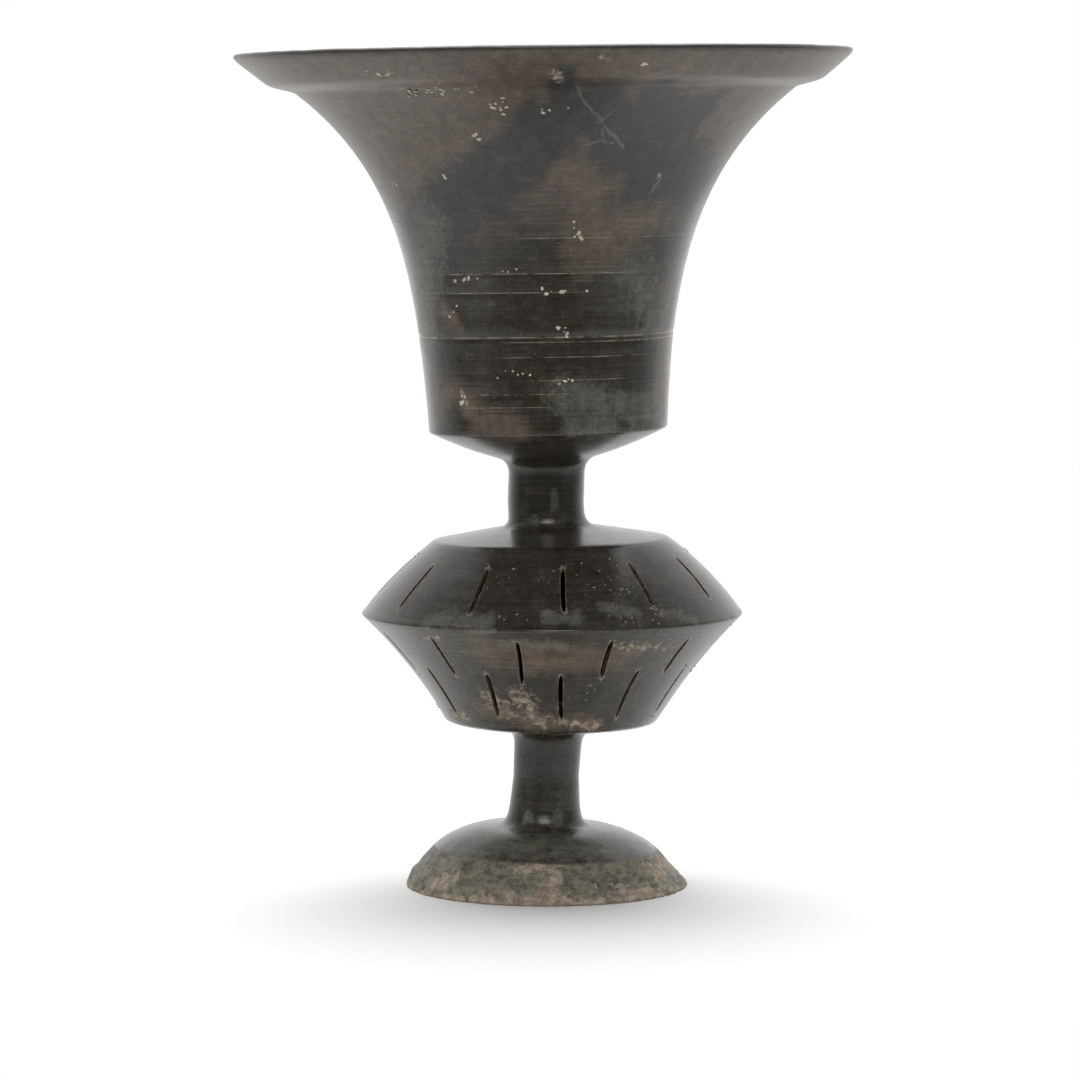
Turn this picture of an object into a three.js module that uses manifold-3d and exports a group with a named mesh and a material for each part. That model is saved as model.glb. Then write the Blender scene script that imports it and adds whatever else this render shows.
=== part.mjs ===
// Eggshell pottery stem cup, fired as one piece: a thin bell-shaped bowl with a stepped, spreading rim
// stands on a tubular stem that swells into a hollow double-cone knop cut through with knife slits,
// and ends in a domed, hollow foot with a sloping collar.
// Millimetres, +Z up, origin at the centre of the foot's underside, front of the cup towards -Y.
import * as THREE from "three";
import { mergeVertices } from "three/addons/utils/BufferGeometryUtils.js";
import Module from "manifold-3d";

// Driving dimensions of the bowl
const RIM_RADIUS = 75;
const LIP_Z = 202.7;
const LIP_ROUND = 0.85;
const LEDGE_RADIUS = 67.3;
const LEDGE_Z = 196.1;
const BELL_TOP_RADIUS = 60.8;
const BELL_TOP_Z = 194.3;
const BELL_CORE_RADIUS = 27.7;
const BELL_CURL = 25.6;
const BOWL_FOOT_Z = 112;
const BOWL_BULGE_RADIUS = 20.5;
const BOWL_BULGE_Z = 108.1;
const BOWL_WALL = 1.1;
const FLOOR_Z = 107;

// Driving dimensions of the stem and the knop
const UPPER_STEM_RADIUS = 9.3;
const LOWER_STEM_RADIUS = 8;
const STEM_WALL = 1.8;
const STEM_TOP_Z = 104.7;
const STEM_FILLET = 2.6;
const KNOP_TOP_Z = 88.2;
const KNOP_SHOULDER_RADIUS = 28.6;
const KNOP_SHOULDER_Z = 85.3;
const KNOP_RADIUS = 46.6;
const KNOP_EQUATOR_Z = 67.2;
const KNOP_EDGE_ROUND = 1;
const KNOP_BASE_RADIUS = 26.6;
const KNOP_BASE_Z = 42.2;
const KNOP_FLOOR_Z = 38.2;
const KNOP_WALL = 1.3;

// Driving dimensions of the foot
const FOOT_RADIUS = 34.4;
const FOOT_SHOULDER_RADIUS = 27.3;
const FOOT_SHOULDER_Z = 9.4;
const FOOT_TOP_Z = 15;
const COLLAR_LINE_RADIUS = 32.6;
const COLLAR_LINE_Z = 3.2;
const FOOT_RING_WIDTH = 3;
const FOOT_WALL = 2;

// Knife slits: each row holds the same number, and neighbouring rows are half a pitch apart.
// A row runs from one share of its cone's length to another, counted from the cone's upper edge.
const SLITS_IN_A_ROW = 12;
const SLIT_PITCH = 360 / SLITS_IN_A_ROW;
const FIRST_SLIT_ANGLE = 3.75;
const SLIT_POINT = 1.6;
const SLIT_ROWS = [
  { cone: "upper", from: 0.24, to: 0.84, width: 1.1, angle: FIRST_SLIT_ANGLE },
  { cone: "lower", from: 0.07, to: 0.55, width: 0.9, angle: FIRST_SLIT_ANGLE - SLIT_PITCH / 2 },
  { cone: "lower", from: 0.46, to: 0.95, width: 0.9, angle: FIRST_SLIT_ANGLE },
];

// The hand-built axis wanders: at each height its sideways shift along X, and its lean in degrees.
const AXIS_STATIONS = [
  { z: 0, shift: 0, lean: 0 },
  { z: 3, shift: -0.6, lean: -0.9 },
  { z: 9, shift: -0.1, lean: -1.1 },
  { z: 15, shift: -0.7, lean: -1.2 },
  { z: 22, shift: -0.4, lean: 0 },
  { z: 36, shift: 0.3, lean: 0 },
  { z: 42, shift: 1, lean: -0.9 },
  { z: 67, shift: 1.3, lean: 0.1 },
  { z: 85, shift: 1, lean: 1.1 },
  { z: 92, shift: -0.4, lean: 1.1 },
  { z: 112, shift: 0.3, lean: 1.6 },
  { z: 135, shift: -0.2, lean: 1.2 },
  { z: 195, shift: -0.3, lean: 0.8 },
  { z: 204, shift: -1.1, lean: 0.7 },
];

// Facets: steps round the axis, along a long curve, along a small rounding and up the bell
const TURN_STEPS = 44;
const CURVE_STEPS = 4;
const ROUND_STEPS = 2;
const BELL_STEPS = 9;

const point = (radius, z) => new THREE.Vector2(radius, z);
const bend = (from, control, to) => new THREE.QuadraticBezierCurve(from, control, to);

// The two faces of the knop: the upper one bulges a little and the lower one is slightly hollow.
const KNOP_CONES = {
  upper: bend(
    point(KNOP_SHOULDER_RADIUS, KNOP_SHOULDER_Z),
    point(38.9, 77.5),
    point(KNOP_RADIUS - KNOP_EDGE_ROUND, KNOP_EQUATOR_Z + KNOP_EDGE_ROUND),
  ),
  lower: bend(
    point(KNOP_RADIUS - KNOP_EDGE_ROUND, KNOP_EQUATOR_Z - KNOP_EDGE_ROUND),
    point(35, 55.8),
    point(KNOP_BASE_RADIUS, KNOP_BASE_Z),
  ),
};

// The domed top of the foot, from the lower stem's flare out to the shoulder.
const FOOT_DOME = bend(
  point(LOWER_STEM_RADIUS + 2 * STEM_FILLET, FOOT_TOP_Z - 0.1),
  point(21, FOOT_TOP_Z - 0.7),
  point(FOOT_SHOULDER_RADIUS, FOOT_SHOULDER_Z),
);

// A point of an outer curve that runs down the cup, carried square through the wall to its inner face.
function innerFace(curve, share, wall) {
  const tangent = curve.getTangent(share);
  return curve.getPoint(share).add(point(tangent.y * wall, -tangent.x * wall));
}

// The bell's outline from its foot up to the ledge: a straight-sided cup that opens as an exponential
// curve, set in from the outer face by a wall thickness.
function bellOutline(inset) {
  const points = [];
  for (let i = 0; i <= BELL_STEPS; i++) {
    // Equal steps in the square root crowd the points towards the curled top.
    const z = THREE.MathUtils.lerp(BOWL_FOOT_Z, BELL_TOP_Z, Math.sqrt(i / BELL_STEPS));
    const spread = (BELL_TOP_RADIUS - BELL_CORE_RADIUS) * Math.exp((z - BELL_TOP_Z) / BELL_CURL);
    const slope = spread / BELL_CURL;
    const length = Math.hypot(1, slope);
    points.push(point(BELL_CORE_RADIUS + spread - inset / length, z + (inset * slope) / length));
  }
  return points;
}

// The inside of the bowl, from the middle of its floor out and up to the lip.
function bowlInside() {
  return [
    point(0, FLOOR_Z),
    point(UPPER_STEM_RADIUS, FLOOR_Z + 0.5),
    ...bend(
      point(BELL_CORE_RADIUS - 3, BOWL_FOOT_Z + 0.6),
      point(BELL_CORE_RADIUS - 0.1, BOWL_FOOT_Z + 1.6),
      point(BELL_CORE_RADIUS + 0.2, BOWL_FOOT_Z + 5),
    ).getPoints(ROUND_STEPS),
    ...bellOutline(BOWL_WALL).slice(1),
    point(LEDGE_RADIUS - 1.6, LEDGE_Z + 1.5),
    point(RIM_RADIUS - 3.4, LIP_Z + LIP_ROUND - 0.5),
  ];
}

// The rounded lip, the flaring rim band and the ledge under it.
function rimOutside() {
  const top = LIP_Z + LIP_ROUND;
  return [
    point(RIM_RADIUS - 2.4, top),
    point(RIM_RADIUS - 0.6, top),
    point(RIM_RADIUS, LIP_Z + 0.2),
    point(RIM_RADIUS - 0.7, LIP_Z - LIP_ROUND),
    ...bend(
      point(LEDGE_RADIUS + 0.9, LEDGE_Z + 0.8),
      point(LEDGE_RADIUS, LEDGE_Z),
      point(LEDGE_RADIUS - 1.4, LEDGE_Z - 0.5),
    ).getPoints(ROUND_STEPS),
  ];
}

// The swelling cone under the bowl and the upper stem, with a fillet at each end.
function upperStemOutside() {
  return [
    point(BOWL_BULGE_RADIUS, BOWL_BULGE_Z),
    ...bend(
      point(UPPER_STEM_RADIUS + STEM_FILLET, STEM_TOP_Z + 0.5),
      point(UPPER_STEM_RADIUS, STEM_TOP_Z - 0.4),
      point(UPPER_STEM_RADIUS, STEM_TOP_Z - 1.3 * STEM_FILLET),
    ).getPoints(ROUND_STEPS),
    ...bend(
      point(UPPER_STEM_RADIUS, KNOP_TOP_Z + 1.3 * STEM_FILLET),
      point(UPPER_STEM_RADIUS, KNOP_TOP_Z + 0.3),
      point(UPPER_STEM_RADIUS + STEM_FILLET, KNOP_TOP_Z),
    ).getPoints(ROUND_STEPS),
  ];
}

function knopOutside() {
  return [
    ...KNOP_CONES.upper.getPoints(CURVE_STEPS),
    point(KNOP_RADIUS, KNOP_EQUATOR_Z),
    ...KNOP_CONES.lower.getPoints(CURVE_STEPS),
    point(KNOP_BASE_RADIUS - 0.9, KNOP_BASE_Z - 1.4),
    point(KNOP_BASE_RADIUS - 2.6, KNOP_BASE_Z - 2),
  ];
}

// The lower stem, the dome of the foot and its sloping collar down to the resting ring.
function footOutside() {
  return [
    ...bend(
      point(LOWER_STEM_RADIUS + STEM_FILLET, KNOP_FLOOR_Z),
      point(LOWER_STEM_RADIUS + 0.3, KNOP_FLOOR_Z - 0.3),
      point(LOWER_STEM_RADIUS + 0.2, KNOP_FLOOR_Z - 1.4 * STEM_FILLET),
    ).getPoints(ROUND_STEPS),
    point(LOWER_STEM_RADIUS, 27),
    ...bend(
      point(LOWER_STEM_RADIUS + 0.6, 20),
      point(LOWER_STEM_RADIUS + 1, FOOT_TOP_Z + 0.4),
      point(LOWER_STEM_RADIUS + 1.2 * STEM_FILLET, FOOT_TOP_Z + 0.1),
    ).getPoints(ROUND_STEPS),
    ...FOOT_DOME.getPoints(CURVE_STEPS),
    point(COLLAR_LINE_RADIUS, COLLAR_LINE_Z),
    point(FOOT_RADIUS, 0.6),
    point(FOOT_RADIUS - 0.3, 0),
    point(FOOT_RADIUS - FOOT_RING_WIDTH - 0.3, 0),
  ];
}

// The hollow of the foot, the lower bore, the hollow knop and the upper bore up to the bowl's floor.
function stemInside() {
  const upperBore = UPPER_STEM_RADIUS - STEM_WALL;
  const lowerBore = LOWER_STEM_RADIUS - STEM_WALL;
  return [
    point(FOOT_SHOULDER_RADIUS - 0.8, FOOT_SHOULDER_Z - FOOT_WALL),
    innerFace(FOOT_DOME, 0.5, FOOT_WALL),
    point(lowerBore + STEM_FILLET, FOOT_TOP_Z - FOOT_WALL),
    point(lowerBore, FOOT_TOP_Z + 1),
    point(lowerBore, KNOP_FLOOR_Z - 1),
    point(lowerBore + STEM_FILLET, KNOP_FLOOR_Z + KNOP_WALL),
    point(KNOP_BASE_RADIUS - 2.2, KNOP_BASE_Z - 2 + KNOP_WALL),
    innerFace(KNOP_CONES.lower, 0.95, KNOP_WALL),
    innerFace(KNOP_CONES.lower, 0.5, KNOP_WALL),
    point(KNOP_RADIUS - 1.7 * KNOP_WALL, KNOP_EQUATOR_Z),
    innerFace(KNOP_CONES.upper, 0.5, KNOP_WALL),
    point(KNOP_SHOULDER_RADIUS - 0.4 * KNOP_WALL, KNOP_SHOULDER_Z - KNOP_WALL),
    point(upperBore + STEM_FILLET, KNOP_TOP_Z - KNOP_WALL),
    point(upperBore, KNOP_TOP_Z + 1.5),
    point(upperBore, STEM_TOP_Z - 1.5),
    point(upperBore - 2, STEM_TOP_Z),
    point(0, STEM_TOP_Z + 0.3),
  ];
}

// The whole section, turned round the axis.
function turnedCup() {
  const section = [
    ...bowlInside(),
    ...rimOutside(),
    ...bellOutline(0).reverse(),
    ...upperStemOutside(),
    ...knopOutside(),
    ...footOutside(),
    ...stemInside(),
  ];
  return new THREE.LatheGeometry(section.reverse(), TURN_STEPS).rotateX(Math.PI / 2);
}

// A pointed blade that stands across the wall where one slit is cut.
function slitBlade(row, index) {
  const upper = KNOP_CONES[row.cone].getPoint(row.from);
  const lower = KNOP_CONES[row.cone].getPoint(row.to);
  const half = upper.distanceTo(lower) / 2;
  const side = row.width / 2;
  const outline = new THREE.Shape([
    point(0, -half),
    point(side, SLIT_POINT - half),
    point(side, half - SLIT_POINT),
    point(0, half),
    point(-side, half - SLIT_POINT),
    point(-side, SLIT_POINT - half),
  ]);
  const depth = 5 * KNOP_WALL;
  const blade = new THREE.ExtrudeGeometry(outline, { depth, bevelEnabled: false });
  blade.translate(0, 0, -depth / 2);

  // The blade's own Y runs up the cone's slope and its Z points out of the wall.
  const middle = upper.clone().add(lower).divideScalar(2);
  const slope = upper.clone().sub(lower).normalize();
  const across = new THREE.Vector3(1, 0, 0);
  const along = new THREE.Vector3(0, -slope.x, slope.y);
  const outward = new THREE.Vector3().crossVectors(across, along);
  const placing = new THREE.Matrix4().makeBasis(across, along, outward);
  placing.setPosition(0, -middle.x, middle.y);
  const turn = THREE.MathUtils.degToRad(row.angle + index * SLIT_PITCH);
  return blade.applyMatrix4(placing).rotateZ(turn);
}

// Shift and lean of the axis at a height, in a straight run between the stations on either side of it.
function axisAt(z) {
  const next = AXIS_STATIONS.findIndex((station) => station.z >= z);
  const above = AXIS_STATIONS[Math.max(next, 1)];
  const below = AXIS_STATIONS[Math.max(next, 1) - 1];
  const share = (z - below.z) / (above.z - below.z);
  return {
    shift: THREE.MathUtils.lerp(below.shift, above.shift, share),
    lean: THREE.MathUtils.lerp(below.lean, above.lean, share),
  };
}

// Carries a true solid of revolution onto the wandering axis.
function leanByHand(geometry) {
  const position = geometry.getAttribute("position");
  for (let i = 0; i < position.count; i++) {
    const x = position.getX(i);
    const z = position.getZ(i);
    const axis = axisAt(z);
    const lean = THREE.MathUtils.degToRad(axis.lean);
    position.setX(i, axis.shift + x * Math.cos(lean));
    position.setZ(i, z + x * Math.sin(lean));
  }
  geometry.computeVertexNormals();
  return geometry;
}

const wasm = await Module();
wasm.setup();

function solidFrom(geometry) {
  const bare = geometry.clone();
  bare.deleteAttribute("normal");
  bare.deleteAttribute("uv");
  const merged = mergeVertices(bare, 1e-4);
  return new wasm.Manifold(
    new wasm.Mesh({
      numProp: 3,
      vertProperties: merged.getAttribute("position").array,
      triVerts: new Uint32Array(merged.index.array),
    }),
  );
}

function geometryFrom(solid) {
  const mesh = solid.getMesh();
  const geometry = new THREE.BufferGeometry();
  geometry.setAttribute("position", new THREE.BufferAttribute(mesh.vertProperties, 3));
  geometry.setIndex(new THREE.BufferAttribute(mesh.triVerts, 1));
  return geometry;
}

let cup = solidFrom(turnedCup());
for (const row of SLIT_ROWS) {
  for (let i = 0; i < SLITS_IN_A_ROW; i++) {
    cup = cup.subtract(solidFrom(slitBlade(row, i)));
  }
}

const blackPottery = new THREE.MeshStandardMaterial({ color: 0x3b3935, roughness: 0.45, metalness: 0 });
const stemCup = new THREE.Mesh(leanByHand(geometryFrom(cup)), blackPottery);
stemCup.name = "stem_cup";

const part = new THREE.Group();
part.add(stemCup);

export default part;
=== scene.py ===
# Looks of an eggshell pottery stem cup: thin black burnished ware, turned on a wheel, with knife slits
# through its hollow knop, raw clay and earth in the slits, a crusted foot, and the stains, wheel lines,
# scratches and specks that a buried cup keeps.
import random

import bpy
import numpy as np
from mathutils import Euler, Matrix, Vector, noise


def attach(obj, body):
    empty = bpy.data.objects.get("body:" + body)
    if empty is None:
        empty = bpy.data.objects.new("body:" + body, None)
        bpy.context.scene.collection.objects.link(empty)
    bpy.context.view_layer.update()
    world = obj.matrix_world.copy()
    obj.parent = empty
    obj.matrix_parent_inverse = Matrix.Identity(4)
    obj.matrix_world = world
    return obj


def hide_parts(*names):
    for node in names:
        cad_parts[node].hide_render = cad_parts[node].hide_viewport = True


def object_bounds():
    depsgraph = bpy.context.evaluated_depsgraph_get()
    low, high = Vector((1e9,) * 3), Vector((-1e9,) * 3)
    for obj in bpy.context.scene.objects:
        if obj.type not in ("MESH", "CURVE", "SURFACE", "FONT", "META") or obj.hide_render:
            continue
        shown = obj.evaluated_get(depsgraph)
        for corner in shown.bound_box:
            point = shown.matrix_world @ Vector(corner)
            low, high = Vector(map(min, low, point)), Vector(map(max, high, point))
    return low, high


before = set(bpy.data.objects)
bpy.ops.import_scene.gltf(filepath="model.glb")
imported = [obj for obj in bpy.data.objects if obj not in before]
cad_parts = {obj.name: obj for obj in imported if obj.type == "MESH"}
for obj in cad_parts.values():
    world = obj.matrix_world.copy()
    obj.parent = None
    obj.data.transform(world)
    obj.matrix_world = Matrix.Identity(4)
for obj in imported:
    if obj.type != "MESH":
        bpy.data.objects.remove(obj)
cad_low, cad_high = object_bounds()

SEED = 41
MM = 0.001

# The cup's section in millimetres, as its solid has it
RIM_RADIUS = 75.0
LIP_Z = 202.7
LIP_ROUND = 0.85
LEDGE_RADIUS = 67.3
LEDGE_Z = 196.1
BELL_TOP_RADIUS = 60.8
BELL_TOP_Z = 194.3
BELL_CORE_RADIUS = 27.7
BELL_CURL = 25.6
BOWL_FOOT_Z = 112.0
BOWL_BULGE = (20.5, 107.7)
BOWL_WALL = 1.1
FLOOR_Z = 107.0
UPPER_STEM_RADIUS = 9.3
LOWER_STEM_RADIUS = 8.0
STEM_WALL = 1.8
STEM_TOP_Z = 104.7
STEM_FILLET = 2.6
KNOP_TOP_Z = 88.2
KNOP_RADIUS = 46.6
KNOP_EQUATOR_Z = 67.2
KNOP_BASE_RADIUS = 26.6
KNOP_BASE_Z = 42.2
KNOP_FLOOR_Z = 38.2
KNOP_WALL = 1.3
FOOT_RADIUS = 34.4
FOOT_SHOULDER = (27.3, 9.4)
FOOT_TOP_Z = 15.0
COLLAR_LINE = (32.6, 3.2)
FOOT_RING_WIDTH = 3.0
FOOT_WALL = 2.0

# The two faces of the knop, each a curve from its upper edge to its lower one
KNOP_CONES = {
    "upper": np.array([(28.6, 85.3), (38.9, 77.5), (45.6, 68.2)]),
    "lower": np.array([(45.6, 66.2), (35.0, 55.8), (26.6, 42.2)]),
}

# The hand-built axis wanders: heights, sideways shifts along X, and leans in degrees
AXIS_Z = (0, 3, 9, 15, 22, 36, 42, 67, 85, 92, 112, 135, 195, 204)
AXIS_SHIFT = (0, -0.6, -0.1, -0.7, -0.4, 0.3, 1, 1.3, 1, -0.4, 0.3, -0.2, -0.3, -1.1)
AXIS_LEAN = (0, -0.9, -1.1, -1.2, 0, 0, -0.9, 0.1, 1.1, 1.1, 1.6, 1.2, 0.8, 0.7)
AXIS_EASE = (-3.0, -1.5, 0.0, 1.5, 3.0)

# Mesh: sectors round the axis, each centred on a place for a slit, and the columns in a sector
SECTORS = 24
SECTOR_COLUMNS = 10
COLUMNS = SECTORS * SECTOR_COLUMNS
SECTOR_TURN = 360 / SECTORS
LEFT_OF_SLIT = SECTOR_COLUMNS // 2 - 1
FINE_STEP = 0.05
ROW_TURN = 22
HIDDEN_ROW_TURN = 40
SHARP_ANGLE = 52

# Knife slits: cone, first and last share of its length, width, and the first slit's angle from the front
FIRST_SLIT_ANGLE = 3.75
SLITS_IN_A_ROW = 12
SLIT_TIP = 1.7
SLIT_TIP_SHARE = 0.12
SLIT_ROWS = [
    ("upper", 0.24, 0.84, 1.2, FIRST_SLIT_ANGLE),
    ("lower", 0.07, 0.55, 1.1, FIRST_SLIT_ANGLE - SECTOR_TURN),
    ("lower", 0.46, 0.95, 1.1, FIRST_SLIT_ANGLE),
]
CONE_SHARES = {"upper": np.linspace(0.06, 0.96, 22), "lower": np.linspace(0.04, 0.97, 27)}

# Wheel lines round the bowl: height, depth, middle angle and how far they run to each side
WHEEL_LINE_HALF = 0.28
WHEEL_LINE_WAVE = 0.12
WHEEL_LINE_WAVES = 3
WHEEL_LINES = [
    (159.0, 0.05, 30, 45),
    (150.6, 0.06, -5, 50),
    (146.1, 0.06, -25, 45),
    (135.4, 0.2, 0, 200),
    (134.3, 0.08, 35, 60),
    (130.7, 0.05, 15, 40),
    (125.2, 0.05, 15, 30),
    (121.9, 0.07, -15, 35),
    (118.8, 0.05, -20, 30),
    (141.0, 0.05, 170, 80),
    (153.5, 0.05, 150, 70),
]

# The wall's slow waves and the fine ridges that fingers leave on the wheel, in millimetres
WAVE_HEIGHT = 0.1
WAVE_SIZE = 26.0
RIDGE_HEIGHT = 0.035
RIDGE_SIZE = 2.6

# Crust, score and burr on the foot's collar, and wear on the sharp edges
COLLAR_TOP = 8.6
CRUST_HEIGHT = 0.34
SCORE_ANGLE = 50
SCORE_Z = 4.1
BURR_ANGLE = -84
BURR_Z = 3.4
BURR_HEIGHT = 0.5
LIP_WEAR = 0.16
KNOP_WEAR = 0.14

# Heights between which the brown flare and the painted shade over the lip set in, and the collar and its
# lower crust end
BROWN_RISE = (148.0, 182.0)
LIP_SHADE_RISE = (LIP_Z - 1.0, LIP_Z + 0.2)
COLLAR_FADE = (8.9, 9.6)
CRUST_FADE = (0.2, 2.0)

# Stains: (angle from the front, height) along each, and its half width, in millimetres; their edges wander
STAIN_WANDER = 3.0
STAIN_LUMP = 9.0
STAINS = {
    # Dark smoke, in two arms that part under the rim
    "smudge": [
        ([(4, 195.5), (5, 188)], 4.5),
        ([(0, 184), (-8, 178), (-18, 173), (-32, 167.5), (-46, 162), (-70, 152)], 10.5),
        ([(12, 188), (27, 181), (43, 176), (63, 171)], 10.0),
        ([(26, 190), (42, 187)], 7.0),
        ([(30, 178), (34, 170)], 7.0),
        ([(150, 186), (172, 176), (196, 168)], 12.0),
        ([(-112, 181), (-98, 172)], 9.0),
    ],
    # Brown where the kiln's air reached the clay
    "brown": [
        ([(-62, 121), (-44, 123), (-33, 116), (-18, 114)], 7.0),
        ([(-50, 142), (-46, 138)], 5.0),
        ([(14, 172), (17, 158), (42, 164)], 11.0),
        ([(68, 146), (66, 128), (70, 118)], 6.0),
        ([(-24, 62), (2, 60), (26, 60)], 7.0),
        ([(-34, 45), (0, 43.5), (22, 43)], 4.5),
        ([(130, 120), (170, 118)], 9.0),
        ([(-120, 128), (-100, 122)], 8.0),
        ([(110, 60), (150, 58), (190, 60), (230, 58)], 7.0),
    ],
    # Thin grey film
    "film": [
        ([(-47, 162), (-60, 148), (-70, 137)], 10.0),
        ([(40, 149), (56, 139)], 10.0),
        ([(9, 121), (25, 119.5), (42, 117), (60, 117)], 8.0),
        ([(12, 114.5), (32, 114)], 5.0),
        ([(-40, 68.8), (-29, 69.6), (-20, 69.4)], 3.2),
        ([(-2, 70.4), (8, 70)], 2.6),
        ([(15, 72.5), (27, 70.6)], 2.4),
        ([(36, 70), (48, 69)], 2.2),
        ([(-16, 64), (4, 63.6)], 2.2),
        ([(-25, 67.4), (-17, 67.4)], 1.2),
        ([(12, 97), (13, 93)], 1.8),
        ([(-18, 91), (-18, 90.2)], 1.8),
        ([(-55, 12), (0, 12), (55, 12)], 5.5),
        ([(-26, 18.2), (-26, 17)], 2.4),
        ([(20, 18.6), (20, 16.6)], 2.2),
        ([(-150, 140), (-128, 126)], 12.0),
        ([(120, 160), (140, 130)], 12.0),
        ([(100, 70), (118, 69)], 3.5),
        ([(188, 71), (206, 69)], 3.5),
        ([(-104, 69), (-88, 70.5)], 3.5),
    ],
    # Earth that clings
    "earth": [
        ([(-28, 49), (-21, 46)], 5.0),
        ([(-14, 50), (-6, 44.5)], 5.5),
        ([(-58, 43.5), (-50, 43)], 3.2),
        ([(6, 43.4), (24, 42.4)], 2.6),
        ([(20, 63), (44, 62.4)], 2.0),
        ([(-48, 64.4), (-38, 64.8)], 1.6),
        ([(10, 200), (11.5, 200)], 2.2),
        ([(1, 197), (3, 196.4)], 2.4),
        ([(39, 174), (40, 173)], 1.4),
        ([(-44, 122.5), (-41.5, 120)], 1.5),
        ([(140, 50), (152, 47)], 5.0),
        ([(-130, 62), (-112, 63)], 2.0),
    ],
    # Earth on the foot's collar, thickest at its lower edge
    "crust": [
        ([(-30, 0.4), (0, 1.2), (30, 0.4)], 3.4),
        ([(-2, 3.5), (5, 5.5), (8, 8.6)], 2.2),
        ([(-14, 7.5), (-8, 8.6), (6, 8.8)], 1.8),
        ([(-54, 3), (-46, 5)], 3.0),
        ([(60, 6), (78, 7.4), (92, 5)], 4.2),
        ([(34, 2.4), (50, 2), (66, 1.6)], 2.0),
        ([(22, 4.7), (50, 4.2), (84, 4)], 1.0),
        ([(130, 1), (160, 2), (185, 1)], 3.2),
        ([(-150, 5), (-120, 2)], 3.0),
    ],
}

# Scratches, each a line of (angle from the front, height), and how far they stray from it
SCRATCH_STRAY = 1.6
SCRATCHES = [
    [(6, 195.2), (8.5, 191), (13, 187.5), (17, 184), (23, 180)],
    [(13.5, 186), (17, 188.5)],
    [(10, 180.5), (15, 181.6), (19, 181)],
    [(15, 184.5), (16.5, 181)],
    [(40, 172.5), (37.5, 169)],
    [(-28, 178), (-24, 176.5)],
]

# Earth specks: angle, height, how many, their spread in degrees and millimetres, and the largest half width
SPECK_SIDES = 7
SMALLEST_SPECK = 0.2
TIP_SPECKS = (0.15, 0.32)
SPECKS = [
    (-34, 197.6, 14, 6, 0.9, 0.62),
    (-24, 194.2, 20, 10, 1.2, 0.55),
    (-31, 193.0, 5, 2.5, 0.4, 0.55),
    (-12, 190.0, 11, 6, 1.6, 0.55),
    (-2, 188.0, 5, 8, 3.0, 0.55),
    (-19, 183.3, 4, 1.5, 1.2, 0.55),
    (-59, 172.0, 4, 2, 2.0, 0.55),
    (-34, 173.6, 2, 1, 0.6, 0.55),
    (14, 160.5, 8, 8, 3.0, 0.55),
    (-34, 149.6, 5, 6, 0.8, 0.55),
    (-16, 151.5, 3, 6, 0.6, 0.55),
    (3, 146.4, 8, 11, 0.9, 0.55),
    (-43, 142.0, 3, 4, 2.0, 0.55),
    (7, 137.5, 5, 6, 3.5, 0.55),
    (-14, 127.0, 6, 16, 1.2, 0.55),
    (-43, 121.4, 4, 1.5, 1.6, 0.8),
    (10, 125.0, 5, 9, 0.8, 0.55),
    (20, 199.0, 3, 4, 0.4, 0.55),
    (16, 52.5, 5, 1.5, 2.5, 0.32),
    (22, 76.0, 26, 16, 6.0, 0.32),
    (-10, 80.0, 10, 22, 4.0, 0.32),
    (34, 69.5, 9, 22, 1.4, 0.32),
    (-12, 69.8, 5, 8, 0.9, 0.32),
    (-68, 6.2, 4, 3, 1.2, 0.32),
    (165, 184.0, 9, 14, 8.0, 0.55),
    (-120, 155.0, 7, 12, 9.0, 0.55),
    (115, 190.0, 8, 12, 5.0, 0.55),
]


def curve(corners, shares):
    """Points of a quadratic curve at shares of its run."""
    start, control, end = np.array(corners, float)
    share = np.asarray(shares, float)[:, None]
    return (1 - share) ** 2 * start + 2 * share * (1 - share) * control + share**2 * end


def bend(*corners):
    """A curve of few points between two places, drawn towards a third."""
    return curve(corners, np.linspace(0, 1, 9))


def cone(name, shares, inset=0.0):
    """Points of a knop face at shares of its length, carried square through the wall by the inset."""
    start, control, end = KNOP_CONES[name]
    share = np.asarray(shares, float)[:, None]
    tangent = (1 - share) * (control - start) + share * (end - control)
    tangent /= np.linalg.norm(tangent, axis=1)[:, None]
    return curve(KNOP_CONES[name], shares) + inset * np.stack([tangent[:, 1], -tangent[:, 0]], axis=1)


def bell(heights, inset=0.0):
    """Points of the bell's face at these heights, set in from its outer face."""
    z = np.asarray(heights, float)
    spread = (BELL_TOP_RADIUS - BELL_CORE_RADIUS) * np.exp((z - BELL_TOP_Z) / BELL_CURL)
    slope = spread / BELL_CURL
    length = np.hypot(1, slope)
    return np.stack([BELL_CORE_RADIUS + spread - inset / length, z + inset * slope / length], axis=1)


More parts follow.
